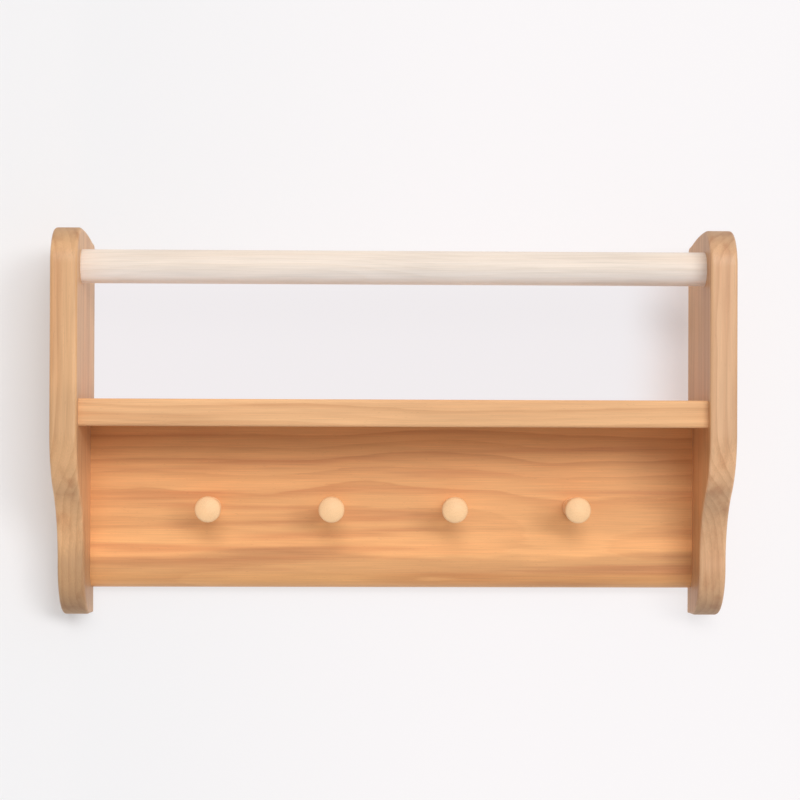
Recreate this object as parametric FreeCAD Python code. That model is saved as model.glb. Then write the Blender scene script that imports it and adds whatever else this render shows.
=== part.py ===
# Wall shelf with pegs: two shaped side panels carry a shelf board, a backboard with four turned
# pegs under it, and a round rail above it. Units are millimetres.
# +X runs to the right, the wall is the plane y = 0 with the front toward -Y, and +Z is up.
# The origin is on the wall, in the middle of the row of pegs.
import FreeCAD, Part
import math
import os

from FreeCAD import Vector

# Boards
INNER_WIDTH = 460.0            # clear width between the side panels
PANEL_THICKNESS = 20.0
PANEL_DEPTH = 100.0            # wall to front edge
SHELF_THICKNESS = 20.0
SHELF_SETBACK = 8.0            # shelf's front edge behind the panels' front edges
BACKBOARD_THICKNESS = 20.0
BACKBOARD_HEIGHT = 124.0
BACKBOARD_NOSE = 12.0          # radius of the backboard's lower front edge
EDGE_ROUND = 2.5               # sanded round on the edges that a hand meets

# Side panel outline, from the shelf up and from the shelf down
PANEL_RISE = 126.0             # panel top above the shelf's top face
CROWN_FALL = 8.0               # how far the top edge drops on its way to the wall
CROWN_BACK_ROUND = 6.0
SCOOP_START = 4.0              # straight front edge below the shelf's underside
SCOOP_SHOULDER = 60.0          # convex radius where the scoop begins
SCOOP_HOLLOW = 70.0            # concave radius of the scoop
WAIST_DEPTH = 55.0             # panel depth at the narrowest place
FOOT_DROP = 20.0               # panel foot below the backboard
FOOT_ROUND = 40.0              # convex radius of the foot

# Rail and pegs
RAIL_RADIUS = 12.5
RAIL_SETBACK = 28.5            # rail axis behind the front edge, and below the panel top
RAIL_SOCKET = 10.0             # depth of the blind socket in each panel
PEG_COUNT = 4
PEG_REACH = 44.0               # face of the backboard to the tip of the head
PEG_HEAD_RADIUS = 9.75
PEG_HEAD_LENGTH = 7.0          # thickness of the mushroom head
PEG_RIM_ROUND = 2.6
PEG_NECK_RADIUS = 4.6
PEG_SHOULDER_RADIUS = 7.6
PEG_SHOULDER_LENGTH = 2.0
PEG_TENON_RADIUS = 5.0
PEG_TENON_LENGTH = 14.0

# Dowel pins of the joints
DOWEL_RADIUS = 4.0
DOWEL_LENGTH = 28.0
DOWEL_CHAMFER = 1.0
FLUTE_COUNT = 10
FLUTE_DEPTH = 0.5
DOWEL_INSET = 22.0             # dowel axis from the edge of the board it holds
DOWEL_END_SPACE = 1.0          # glue space past each end of a dowel
UPRIGHT_DOWEL_INSET = 50.0     # axis of each upright dowel from the side panel
UPRIGHT_DOWEL_SHARE = 0.4      # share of an upright dowel that is in the shelf
GLUE_GAP = 0.05                # radial room for glue round a dowel, a tenon and the rail

# Keyhole hanger plates and their screws
HANGER_DROP = 52.0             # middle of the plate below the panel top
PLATE_WIDTH = 14.0
PLATE_LENGTH = 50.0
PLATE_THICKNESS = 2.0
PLATE_GAP = 0.15               # room round the plate in its recess
ENTRY_RADIUS = 4.6             # round hole that the wall screw's head goes in by
SLOT_RADIUS = 2.3              # half the width of the slot that holds the screw
SLOT_RISE = 12.0               # middle of the entry hole to the end of the slot
SCREW_SPACING = 38.0
SCREW_RADIUS = 1.5
SCREW_HEAD_RADIUS = 2.9
SCREW_LENGTH = 14.0
SCREW_POINT = 4.0
SCREW_HOLE_GAP = 0.2           # radial room round the screws in the plates
DRIVE_WIDTH = 0.7              # arms of the cross in the screw's head
DRIVE_LENGTH = 3.2
DRIVE_DEPTH = 0.8
HEAD_POCKET_DEPTH = 6.0        # room behind the plate for the wall screw's head
HEAD_POCKET_GAP = 0.4

# Places that follow from the sizes above
SHELF_DEPTH = PANEL_DEPTH - SHELF_SETBACK
SHELF_UNDERSIDE = BACKBOARD_HEIGHT / 2
SHELF_TOP = SHELF_UNDERSIDE + SHELF_THICKNESS
PANEL_TOP = SHELF_TOP + PANEL_RISE
PANEL_FOOT = -BACKBOARD_HEIGHT / 2 - FOOT_DROP
RAIL_HEIGHT = PANEL_TOP - RAIL_SETBACK
HANGER_HEIGHT = PANEL_TOP - HANGER_DROP
ENTRY_HEIGHT = HANGER_HEIGHT - SLOT_RISE / 2
PANEL_INNER = INNER_WIDTH / 2
PANEL_MIDDLE = PANEL_INNER + PANEL_THICKNESS / 2
UPRIGHT_DOWEL_SPREAD = PANEL_INNER - UPRIGHT_DOWEL_INSET
PEG_SPACING = INNER_WIDTH / (PEG_COUNT + 1)

RIGHT = Vector(1, 0, 0)
BACK = Vector(0, 1, 0)
UP = Vector(0, 0, 1)


def box(x0, x1, y0, y1, z0, z1):
    """A block between two corners."""
    return Part.makeBox(x1 - x0, y1 - y0, z1 - z0, Vector(x0, y0, z0))


def rod(radius, length, start, direction):
    """A round bar from a point along a direction."""
    return Part.makeCylinder(radius, length, start, direction)


def outline_face(steps):
    """A face from a closed outline of straight lines and three-point arcs.

    A step is the point that a line runs to, or a pair: a point on an arc, and the arc's end.
    Where two arcs meet with no straight stretch between them, the line has no length and is left out.
    """
    edges = []
    here = steps[0]
    for step in steps[1:] + steps[:1]:
        if isinstance(step, tuple):
            through, end = step
            edges.append(Part.Arc(here, through, end).toShape())
        else:
            end = step
            if end.distanceToPoint(here) > 1e-6:
                edges.append(Part.LineSegment(here, end).toShape())
        here = end
    return Part.Face(Part.Wire(edges))


def obround(x, y, low, high, radius, depth):
    """A slot with round ends, upright in the plane y, cut toward the front."""
    points = [
        Vector(x - radius, y, low),
        (Vector(x, y, low - radius), Vector(x + radius, y, low)),
        Vector(x + radius, y, high),
        (Vector(x, y, high + radius), Vector(x - radius, y, high)),
    ]
    return outline_face(points).extrude(Vector(0, -depth, 0))


def round_edges(shape, radius, chosen):
    """Round the edges that pass a test."""
    edges = [edge for edge in shape.Edges if chosen(edge)]
    return shape.makeFillet(radius, edges)


def along(edge, direction):
    """True for a straight edge that runs along a direction."""
    if not isinstance(edge.Curve, Part.Line):
        return False
    return abs(abs(edge.Curve.Direction.dot(direction)) - 1.0) < 1e-6


# Places that several pieces share
def rail_centre(x):
    """A point on the rail's axis."""
    return Vector(x, RAIL_SETBACK - PANEL_DEPTH, RAIL_HEIGHT)


def peg_places():
    """Middle of each peg on the backboard's front face."""
    first = -(PEG_COUNT - 1) * PEG_SPACING / 2
    return [Vector(first + i * PEG_SPACING, -BACKBOARD_THICKNESS, 0) for i in range(PEG_COUNT)]


def side_dowel_places():
    """The y and z of each dowel at the end of the shelf board and of the backboard."""
    shelf_z = SHELF_UNDERSIDE + SHELF_THICKNESS / 2
    shelf = [(-DOWEL_INSET, shelf_z), (DOWEL_INSET - SHELF_DEPTH, shelf_z)]
    board_y = -BACKBOARD_THICKNESS / 2
    reach = BACKBOARD_HEIGHT / 2 - DOWEL_INSET
    return shelf + [(board_y, reach), (board_y, -reach)]


def plate_screw_heights():
    """Heights of the two screws of a hanger plate."""
    return [HANGER_HEIGHT - SCREW_SPACING / 2, HANGER_HEIGHT + SCREW_SPACING / 2]


# Side panels
def scoop_angle():
    """How far the shoulder and the hollow of the scoop each turn."""
    return math.acos(1 - (PANEL_DEPTH - WAIST_DEPTH) / (SCOOP_SHOULDER + SCOOP_HOLLOW))


def arc_point(centre_y, centre_z, radius, angle):
    """A point on a circle in the panel's plane, angle 0 toward the front and 90 degrees up."""
    return Vector(0, centre_y - radius * math.cos(angle), centre_z + radius * math.sin(angle))


def arc_to(centre_y, centre_z, radius, start, end):
    """The middle and the end of an arc, as a step of an outline."""
    middle = (start + end) / 2
    return (
        arc_point(centre_y, centre_z, radius, middle),
        arc_point(centre_y, centre_z, radius, end),
    )


def panel_outline():
    """The side panel from the side, from the lower wall corner round by the front to the top."""
    quarter = math.pi / 2
    front = -PANEL_DEPTH
    turn = scoop_angle()
    scoop_top = SHELF_UNDERSIDE - SCOOP_START
    hollow_z = scoop_top - (SCOOP_SHOULDER + SCOOP_HOLLOW) * math.sin(turn)
    foot_round = min(FOOT_ROUND, hollow_z - PANEL_FOOT, WAIST_DEPTH)
    foot_y = foot_round - WAIST_DEPTH
    crown_y = front + RAIL_SETBACK
    crown_radius = (crown_y**2 + CROWN_FALL**2) / (2 * CROWN_FALL)
    crown_z = PANEL_TOP - crown_radius
    crown_turn = math.asin(-crown_y / crown_radius)
    foot_z = PANEL_FOOT + foot_round
    return [
        Vector(0, 0, PANEL_FOOT),
        Vector(0, foot_y, PANEL_FOOT),
        arc_to(foot_y, foot_z, foot_round, -quarter, 0),
        Vector(0, -WAIST_DEPTH, hollow_z),
        arc_to(-WAIST_DEPTH - SCOOP_HOLLOW, hollow_z, SCOOP_HOLLOW, math.pi, math.pi - turn),
        arc_to(front + SCOOP_SHOULDER, scoop_top, SCOOP_SHOULDER, -turn, 0),
        Vector(0, front, PANEL_TOP - RAIL_SETBACK),
        arc_to(crown_y, PANEL_TOP - RAIL_SETBACK, RAIL_SETBACK, 0, quarter),
        arc_to(crown_y, crown_z, crown_radius, quarter, quarter + crown_turn),
    ]


def side_panel(side):
    """A side panel, side -1 on the left and 1 on the right, with its sockets and hanger recess."""
    inner = side * PANEL_INNER
    panel = outline_face(panel_outline()).extrude(RIGHT * PANEL_THICKNESS)
    panel.translate(RIGHT * min(inner, inner + side * PANEL_THICKNESS))
    panel = round_edges(panel, CROWN_BACK_ROUND, is_crown_back)
    panel = round_edges(panel, EDGE_ROUND, is_on_front_outline)
    into = RIGHT * side
    cuts = [rod(RAIL_RADIUS + GLUE_GAP, RAIL_SOCKET, rail_centre(inner), into)]
    depth = DOWEL_LENGTH / 2 + DOWEL_END_SPACE
    for y, z in side_dowel_places():
        cuts.append(rod(DOWEL_RADIUS + GLUE_GAP, depth, Vector(inner, y, z), into))
    cuts += hanger_recess(side * PANEL_MIDDLE)
    return panel.cut(cuts)


def is_crown_back(edge):
    """True for the panel's top edge at the wall."""
    return along(edge, RIGHT) and edge.CenterOfMass.y > -1e-6 and edge.CenterOfMass.z > 0


def is_on_front_outline(edge):
    """True for an edge of a broad face that runs round the front, the top or the foot."""
    first, last = edge.Vertexes[0], edge.Vertexes[-1]
    on_broad_face = abs(first.X - last.X) < 1e-6
    on_wall = along(edge, UP) and edge.CenterOfMass.y > -1e-6
    return on_broad_face and not on_wall


def hanger_recess(x):
    """Recess for the plate, pocket for the wall screw's head and the pilot holes."""
    half = PLATE_LENGTH / 2 - PLATE_WIDTH / 2
    low, high = HANGER_HEIGHT - half, HANGER_HEIGHT + half
    plate = obround(x, 0, low, high, PLATE_WIDTH / 2 + PLATE_GAP, PLATE_THICKNESS)
    head_radius = ENTRY_RADIUS + HEAD_POCKET_GAP
    pocket_depth = PLATE_THICKNESS + HEAD_POCKET_DEPTH
    pocket = obround(x, 0, ENTRY_HEIGHT, ENTRY_HEIGHT + SLOT_RISE, head_radius, pocket_depth)
    pilots = [screw_shank(Vector(x, 0, z)) for z in plate_screw_heights()]
    return [plate, pocket] + pilots


# Boards
def shelf_board():
    """The shelf, its long front edges sanded round, with the dowel holes."""
    board = box(-PANEL_INNER, PANEL_INNER, -SHELF_DEPTH, 0, SHELF_UNDERSIDE, SHELF_TOP)
    board = round_edges(
        board, EDGE_ROUND, lambda e: along(e, RIGHT) and e.CenterOfMass.y < -SHELF_DEPTH / 2
    )
    return board.cut(end_dowel_holes(side_dowel_places()[:2]) + upright_dowel_holes())


def peg_backboard():
    """The backboard, its lower front edge rounded over, with the peg and dowel holes."""
    low = -BACKBOARD_HEIGHT / 2
    board = box(-PANEL_INNER, PANEL_INNER, -BACKBOARD_THICKNESS, 0, low, SHELF_UNDERSIDE)
    board = round_edges(board, BACKBOARD_NOSE, is_lower_front)
    depth = PEG_TENON_LENGTH + DOWEL_END_SPACE
    pegs = [rod(PEG_TENON_RADIUS + GLUE_GAP, depth, place, BACK) for place in peg_places()]
    return board.cut(pegs + end_dowel_holes(side_dowel_places()[2:]) + upright_dowel_holes())


def is_lower_front(edge):
    """True for the backboard's long lower edge on the side of the pegs."""
    middle = edge.CenterOfMass
    return along(edge, RIGHT) and middle.z < 0 and middle.y < -BACKBOARD_THICKNESS / 2


def end_dowel_holes(places):
    """Blind holes in both ends of a board."""
    depth = DOWEL_LENGTH / 2 + DOWEL_END_SPACE
    holes = []
    for y, z in places:
        for side in (-1, 1):
            mouth = Vector(side * PANEL_INNER, y, z)
            holes.append(rod(DOWEL_RADIUS + GLUE_GAP, depth, mouth, RIGHT * -side))
    return holes


def upright_dowel_span():
    """Lowest and highest point of an upright dowel, part in the backboard and part in the shelf."""
    high = SHELF_UNDERSIDE + UPRIGHT_DOWEL_SHARE * DOWEL_LENGTH
    return high - DOWEL_LENGTH, high


def upright_dowel_holes():
    """Holes for the upright dowels, in the backboard's top edge and the shelf's underside."""
    low, high = upright_dowel_span()
    length = high - low + 2 * DOWEL_END_SPACE
    holes = []
    for side in (-1, 1):
        start = Vector(side * UPRIGHT_DOWEL_SPREAD, -BACKBOARD_THICKNESS / 2, low - DOWEL_END_SPACE)
        holes.append(rod(DOWEL_RADIUS + GLUE_GAP, length, start, UP))
    return holes


def front_rail():
    """The round rail, from the bottom of one socket to the bottom of the other."""
    length = INNER_WIDTH + 2 * RAIL_SOCKET
    return rod(RAIL_RADIUS, length, rail_centre(-length / 2), RIGHT)


# Pegs
def turned_peg(place):
    """A peg turned in one piece: tenon, shoulder, tapered shaft and mushroom head."""
    rim_x = PEG_HEAD_RADIUS - PEG_RIM_ROUND
    rim_y = PEG_REACH - PEG_HEAD_LENGTH + PEG_RIM_ROUND
    flare = rim_x - PEG_NECK_RADIUS
    neck_y = rim_y - PEG_RIM_ROUND - flare
    rise = PEG_REACH - rim_y
    cap = (rim_x**2 + rise**2 - PEG_RIM_ROUND**2) / (2 * (rise - PEG_RIM_ROUND))
    cap_turn = math.asin(rim_x / (cap - PEG_RIM_ROUND))
    profile = [
        Vector(0, -PEG_TENON_LENGTH, 0),
        Vector(PEG_TENON_RADIUS - DOWEL_CHAMFER, -PEG_TENON_LENGTH, 0),
        Vector(PEG_TENON_RADIUS, DOWEL_CHAMFER - PEG_TENON_LENGTH, 0),
        Vector(PEG_TENON_RADIUS, 0, 0),
        Vector(PEG_SHOULDER_RADIUS, 0, 0),
        Vector(PEG_SHOULDER_RADIUS, PEG_SHOULDER_LENGTH, 0),
        Vector(PEG_NECK_RADIUS, neck_y, 0),
        turn_step(rim_x, neck_y, flare, math.pi, math.pi / 2),
        turn_step(rim_x, rim_y, PEG_RIM_ROUND, -math.pi / 2, math.pi / 2 - cap_turn),
        turn_step(0, PEG_REACH - cap, cap, math.pi / 2 - cap_turn, math.pi / 2),
    ]
    blank = outline_face(profile).revolve(Vector(0, 0, 0), BACK, 360)
    # the profile's own axis is +Y, and a peg points to the front
    blank.rotate(Vector(0, 0, 0), UP, 180)
    blank.translate(place)
    return blank


def turn_step(x, y, radius, start, end):
    """An arc of a turned profile, as the point in its middle and its end."""
    middle = (start + end) / 2
    return tuple(
        Vector(x + radius * math.cos(a), y + radius * math.sin(a), 0) for a in (middle, end)
    )


# Dowels and hardware
def fluted_dowel(start, direction):
    """A glued dowel pin with chamfered ends and straight flutes."""
    pin = Part.makeCylinder(DOWEL_RADIUS, DOWEL_LENGTH)
    pin = pin.makeChamfer(DOWEL_CHAMFER, [e for e in pin.Edges if isinstance(e.Curve, Part.Circle)])
    # a flute is as wide as it is deep to each side, and its mouth stands clear of the pin
    depth, mouth = DOWEL_RADIUS - FLUTE_DEPTH, DOWEL_RADIUS + FLUTE_DEPTH
    wedge = outline_face([
        Vector(depth, 0, 0),
        Vector(mouth, -2 * FLUTE_DEPTH, 0),
        Vector(mouth, 2 * FLUTE_DEPTH, 0),
    ]).extrude(UP * DOWEL_LENGTH)
    flutes = []
    for i in range(FLUTE_COUNT):
        flute = wedge.copy()
        flute.rotate(Vector(0, 0, 0), UP, 360 * i / FLUTE_COUNT)
        flutes.append(flute)
    pin = pin.cut(flutes)
    pin.Placement = FreeCAD.Placement(start, FreeCAD.Rotation(UP, direction))
    return pin


def hanger_plate(x):
    """A steel plate let into the panel's rear edge, with a keyhole and two countersunk holes."""
    half = PLATE_LENGTH / 2 - PLATE_WIDTH / 2
    low, high = HANGER_HEIGHT - half, HANGER_HEIGHT + half
    plate = obround(x, 0, low, high, PLATE_WIDTH / 2, PLATE_THICKNESS)
    entry = rod(ENTRY_RADIUS, PLATE_THICKNESS, Vector(x, -PLATE_THICKNESS, ENTRY_HEIGHT), BACK)
    slot = obround(x, 0, ENTRY_HEIGHT, ENTRY_HEIGHT + SLOT_RISE, SLOT_RADIUS, PLATE_THICKNESS)
    holes = [countersink(Vector(x, 0, z)) for z in plate_screw_heights()]
    return plate.cut([entry, slot] + holes)


def countersink(place):
    """The hole for a screw through a plate, with room round the screw."""
    wide, narrow = SCREW_HEAD_RADIUS + SCREW_HOLE_GAP, SCREW_RADIUS + SCREW_HOLE_GAP
    cone = Part.makeCone(wide, narrow, wide - narrow, place, BACK * -1)
    return cone.fuse(rod(narrow, PLATE_THICKNESS, place, BACK * -1))


def screw_shank(place):
    """The shank and point of a plate's screw, from the wall plane toward the front."""
    straight = SCREW_LENGTH - SCREW_POINT
    shank = rod(SCREW_RADIUS, straight, place, BACK * -1)
    point = Part.makeCone(SCREW_RADIUS, 0, SCREW_POINT, place - BACK * straight, BACK * -1)
    return shank.fuse(point)


def hanger_screw(place):
    """A countersunk wood screw with a cross in its head, drawn without its thread."""
    head_depth = SCREW_HEAD_RADIUS - SCREW_RADIUS
    cone = Part.makeCone(SCREW_HEAD_RADIUS, SCREW_RADIUS, head_depth, place, BACK * -1)
    arms = []
    for across, upright in ((DRIVE_LENGTH, DRIVE_WIDTH), (DRIVE_WIDTH, DRIVE_LENGTH)):
        corner = place - Vector(across / 2, DRIVE_DEPTH, upright / 2)
        arms.append(Part.makeBox(across, DRIVE_DEPTH, upright, corner))
    return cone.fuse(screw_shank(place)).removeSplitter().cut(arms)


def all_pieces():
    """Every piece under its own name."""
    pieces = {
        "left_side_panel": side_panel(-1),
        "right_side_panel": side_panel(1),
        "shelf_board": shelf_board(),
        "peg_backboard": peg_backboard(),
        "front_rail": front_rail(),
    }
    for number, place in enumerate(peg_places(), 1):
        pieces[f"peg_{number}"] = turned_peg(place)
    for side, word in ((-1, "left"), (1, "right")):
        for number, (y, z) in enumerate(side_dowel_places(), 1):
            start = Vector(side * PANEL_INNER - DOWEL_LENGTH / 2, y, z)
            pieces[f"{word}_dowel_{number}"] = fluted_dowel(start, RIGHT)
        low, high = upright_dowel_span()
        foot = Vector(side * UPRIGHT_DOWEL_SPREAD, -BACKBOARD_THICKNESS / 2, low)
        pieces[f"{word}_upright_dowel"] = fluted_dowel(foot, UP)
        x = side * PANEL_MIDDLE
        pieces[f"{word}_hanger_plate"] = hanger_plate(x)
        for number, z in enumerate(plate_screw_heights(), 1):
            pieces[f"{word}_hanger_screw_{number}"] = hanger_screw(Vector(x, 0, z))
    return pieces


def main():
    os.makedirs("parts", exist_ok=True)
    for name, shape in all_pieces().items():
        shape.exportStep(f"parts/{name}.step")
        state = "valid" if shape.isValid() else "NOT VALID"
        print(f"{name:24s} {len(shape.Solids)} solid, {state}, {shape.Volume / 1000:8.2f} cm3")


main()
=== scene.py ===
# %% [markdown]
# # A wall shelf with pegs
#
# The object is a small wooden wall shelf. Two shaped side panels carry a shelf board, a backboard
# with four turned pegs stands under it, and a round rail runs across the front above it.
#
# The solids come from a drawing program. They are loaded first and give the place of everything
# that follows. The pins and plates, which are out of sight, are kept and get a finish. The pieces
# that a viewer looks at, with their rounded edges, are worked out again here as smooth surfaces,
# and the four screws are shown by copies.

# %% Load the drawn solids
import math

import bmesh
import bpy
import numpy as np
from mathutils import Matrix, Vector
from mathutils.geometry import delaunay_2d_cdt


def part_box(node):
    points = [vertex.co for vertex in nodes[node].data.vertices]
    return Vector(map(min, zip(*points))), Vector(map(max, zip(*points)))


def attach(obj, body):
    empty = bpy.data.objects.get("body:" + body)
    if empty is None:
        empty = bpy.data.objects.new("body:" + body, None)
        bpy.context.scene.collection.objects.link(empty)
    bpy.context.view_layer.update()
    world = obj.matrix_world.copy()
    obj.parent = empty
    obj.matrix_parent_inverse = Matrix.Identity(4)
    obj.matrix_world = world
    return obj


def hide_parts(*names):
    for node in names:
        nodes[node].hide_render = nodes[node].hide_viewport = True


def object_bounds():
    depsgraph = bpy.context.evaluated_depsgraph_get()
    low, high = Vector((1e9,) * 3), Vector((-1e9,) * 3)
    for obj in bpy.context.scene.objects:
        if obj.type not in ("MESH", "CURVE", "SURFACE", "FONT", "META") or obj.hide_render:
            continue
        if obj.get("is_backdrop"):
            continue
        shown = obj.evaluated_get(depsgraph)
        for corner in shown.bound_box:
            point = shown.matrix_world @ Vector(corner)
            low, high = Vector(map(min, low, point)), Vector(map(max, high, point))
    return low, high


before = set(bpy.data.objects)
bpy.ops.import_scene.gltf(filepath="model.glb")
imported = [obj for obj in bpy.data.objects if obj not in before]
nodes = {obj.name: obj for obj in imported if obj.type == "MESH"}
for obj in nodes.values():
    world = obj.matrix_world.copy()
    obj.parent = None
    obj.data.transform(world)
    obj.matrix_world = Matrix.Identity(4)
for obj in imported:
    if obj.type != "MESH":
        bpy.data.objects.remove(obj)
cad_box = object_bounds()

MM = 0.001                   # a millimetre in metres
QUARTER = math.pi / 2
print("nodes:", len(nodes), "box:", [tuple(round(v, 4) for v in corner) for corner in cad_box])

# %% [markdown]
# ## The sizes
#
# A surface that replaces a solid has to lie where the solid lies. The sizes could be measured on
# the solids, but a rounded edge or a hollow curve is hard to read off a mesh. So the few sizes of
# the drawing that shape the visible pieces are written here, in millimetres, and each piece is
# compared with its solid's box once it is made.

# %% Sizes of the drawing, in millimetres
INNER = 230.0                # middle to the inner face of a side panel
THICK = 20.0                 # every board
DEPTH = 100.0                # side panels, wall to front
SHELF_DEPTH = 92.0           # its front edge lies a little behind the panels'
SHELF_LOW, SHELF_HIGH = 62.0, 82.0
BOARD_LOW = -62.0            # the backboard reaches from here up to the shelf
NOSE = 12.0                  # round of the backboard's lower front edge
ROUND = 2.5                  # sanded edges
BACK_ROUND = 0.3             # edges of the boards that no hand meets
TOP, FOOT = 208.0, -82.0     # side panels
SETBACK = 28.5               # rail axis from the front and from the top, and the crown's radius
CROWN_FALL, CROWN_BACK = 8.0, 6.0                 # the top edge's fall, and its round at the wall
SCOOP_TOP, SHOULDER, HOLLOW = 58.0, 60.0, 70.0    # where the scoop begins, and its two radii
WAIST, FOOT_ROUND = 55.0, 40.0                    # the least depth, and the foot's radius
RAIL_RADIUS, RAIL_SOCKET, RAIL_CHAMFER = 12.5, 10.0, 0.6
PEG_PLACES = (-138.0, -46.0, 46.0, 138.0)
PEG_REACH, TENON_RADIUS, TENON_LENGTH = 44.0, 5.0, 14.0
GLUE_GAP = 0.05              # room for glue round a dowel, a tenon and the rail
HOLE_DEPTH = 15.0            # holes for half a dowel and for a tenon
# level dowels by y and z, two for the shelf's ends and two for the backboard's
DOWEL_RADIUS = 4.0
DOWEL_PLACES = ((-22.0, 72.0), (-70.0, 72.0), (-10.0, 40.0), (-10.0, -40.0))
# upright dowels, and where their holes end below and above
UPRIGHT_X, UPRIGHT_LOW, UPRIGHT_HIGH = 180.0, 44.2, 74.2
# the slot for a steel plate, and in it the pocket for a screw's head: half of the way between the
# middles of the two round ends, the ends' radius, and the depth from the wall
HANGER_Z = 156.0
PLATE_HALF, PLATE_RADIUS, PLATE_DEEP = 18.0, 7.15, 2.0
POCKET_HALF, POCKET_RADIUS, POCKET_DEEP = 6.0, 5.0, 8.0
print("width over the panels:", 2 * (INNER + THICK), "mm")

# %% [markdown]
# ## The camera
#
# The photograph is taken from straight in front, at about the height of the shelf board and from
# one and a half metres away with a long lens. A camera can be placed by eye, or worked out from
# points that are known on the object. Here it was worked out: its place, its two small turns, the
# tilt of the picture and the lens were fitted until the corners of the solids fell on theirs.

# %% Place the camera
def aim(yaw, pitch, roll):
    """The camera's three axes: turned right by yaw, up by pitch, and tilted left by roll."""
    level = Vector((math.sin(yaw), math.cos(yaw), 0)) * math.cos(pitch)
    ahead = level + Vector((0, 0, math.sin(pitch)))
    side = Vector((math.cos(yaw), -math.sin(yaw), 0))
    rise = side.cross(ahead)
    right = math.cos(roll) * side + math.sin(roll) * rise
    up = math.cos(roll) * rise - math.sin(roll) * side
    return Matrix((right, up, -ahead)).transposed()


CAMERA_PLACE = Vector((-30.0, -1574.9, 72.8)) * MM
CAMERA_TURNS = (1.314, 0.341, 0.211)              # yaw, pitch and roll in degrees
CAMERA_LENS = 91.51                               # millimetres, for a sensor 36 mm wide

camera = bpy.data.objects.new("camera", bpy.data.cameras.new("camera"))
camera.data.sensor_width = 36
camera.data.lens = CAMERA_LENS
turn = aim(*(math.radians(angle) for angle in CAMERA_TURNS))
camera.matrix_world = Matrix.Translation(CAMERA_PLACE) @ turn.to_4x4()
bpy.context.scene.collection.objects.link(camera)
bpy.context.scene.camera = camera
bpy.context.scene.view_settings.view_transform = "Standard"
print("camera", [round(v, 3) for v in camera.matrix_world.translation], "lens", camera.data.lens)

# %% [markdown]
# ## Sewing surfaces from arrays
#
# Every new piece is made of patches. A curved patch is a grid of points from a formula, and a flat
# patch is an outline with holes in it. The patches could stay apart, but then light would break at
# every border. So they are sewn: points that fall together become one, and only an edge with a
# real corner is kept sharp, so a sanded round runs smoothly into the flat beside it.

# %% A shell that gathers patches
class Shell:
    """The patches of one piece, in millimetres, gathered as arrays and sewn into one mesh."""

    def __init__(self):
        self.points = []
        self.worn = []
        self.faces = []
        self.count = 0

    def add(self, points, faces, worn=None):
        """Keep some points, how worn each is, and faces that number them from nought."""
        points = np.asarray(points, float).reshape(-1, 3)
        self.points.append(points)
        self.worn.append(np.zeros(len(points)) if worn is None else np.ravel(worn))
        self.faces += (np.asarray(faces) + self.count).tolist()
        self.count += len(points)

    def grid(self, points, keep=None, worn=None):
        """A grid of points: a face between each point, the next in its row, and the next row."""
        rows, columns = points.shape[:2]
        first = np.arange(rows - 1)[:, None] * columns + np.arange(columns - 1)[None, :]
        faces = np.stack([first, first + 1, first + columns + 1, first + columns], -1)
        self.add(points, faces[keep] if keep is not None else faces.reshape(-1, 4), worn)

    def flat(self, axis, level, outer, holes=()):
        """A flat patch across an axis: triangles between an outline and the holes in it.

        A triangle stays if a line from its middle crosses the loops an odd number of times.
        """
        too_near = 1e-7          # millimetres
        loops = [np.asarray(loop, float) for loop in (outer, *holes)]
        start = np.concatenate(loops)
        end = np.concatenate([np.roll(loop, -1, axis=0) for loop in loops])
        firsts = np.cumsum([0] + [len(loop) for loop in loops])
        after = np.concatenate([np.roll(np.arange(a, b), -1) for a, b in zip(firsts, firsts[1:])])
        edges = np.stack([np.arange(len(start)), after], -1).tolist()
        solved = delaunay_2d_cdt([Vector(p) for p in start], edges, [], 0, too_near)
        corners, faces = np.array(solved[0]), np.array(solved[2])
        middle = corners[faces].mean(1)[:, None, :]
        tall = (start[:, 1] > middle[..., 1]) != (end[:, 1] > middle[..., 1])
        rise = np.where(tall, end[:, 1] - start[:, 1], 1.0)
        run = (end[:, 0] - start[:, 0]) * (middle[..., 1] - start[:, 1]) / rise
        crossed = (tall & (middle[..., 0] < start[:, 0] + run)).sum(1)
        self.add(np.insert(corners, axis, level, axis=1), faces[crossed % 2 == 1])

    def hole(self, axis, level, depth, outline):
        """The wall and the bottom of a blind hole: its outline, carried along the axis."""
        ring = np.vstack([outline, outline[:1]])
        walls = np.stack([np.insert(ring, axis, level + d, axis=1) for d in (0, depth)])
        self.grid(walls)
        self.flat(axis, level + depth, outline)


def circle(centre, radius, count=32):
    """Points at equal angles round a centre, which a flat patch takes as an outline."""
    angle = np.arange(count) * 2 * np.pi / count
    return np.stack([centre[0] + radius * np.cos(angle), centre[1] + radius * np.sin(angle)], -1)


def obround(x, low, high, radius, count=24):
    """The outline of an upright slot: half a circle over its top, and half a circle under it."""
    angle = np.linspace(0, np.pi, count)
    cap = np.stack([x + radius * np.cos(angle), high + radius * np.sin(angle)], -1)
    cup = np.stack([x - radius * np.cos(angle), low - radius * np.sin(angle)], -1)
    return np.concatenate([cap, cup])


print("a circle of", len(circle((0, 0), 1)), "points, a slot of", len(obround(0, 0, 1, 1)))

# %% Sew a shell into an object
JOIN = 2e-6                  # metres: points of two patches nearer than this are one
SLIVER = 1e-7                # metres: a shorter edge goes
CORNER = math.radians(33)    # a sharper bend stays a corner


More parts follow.
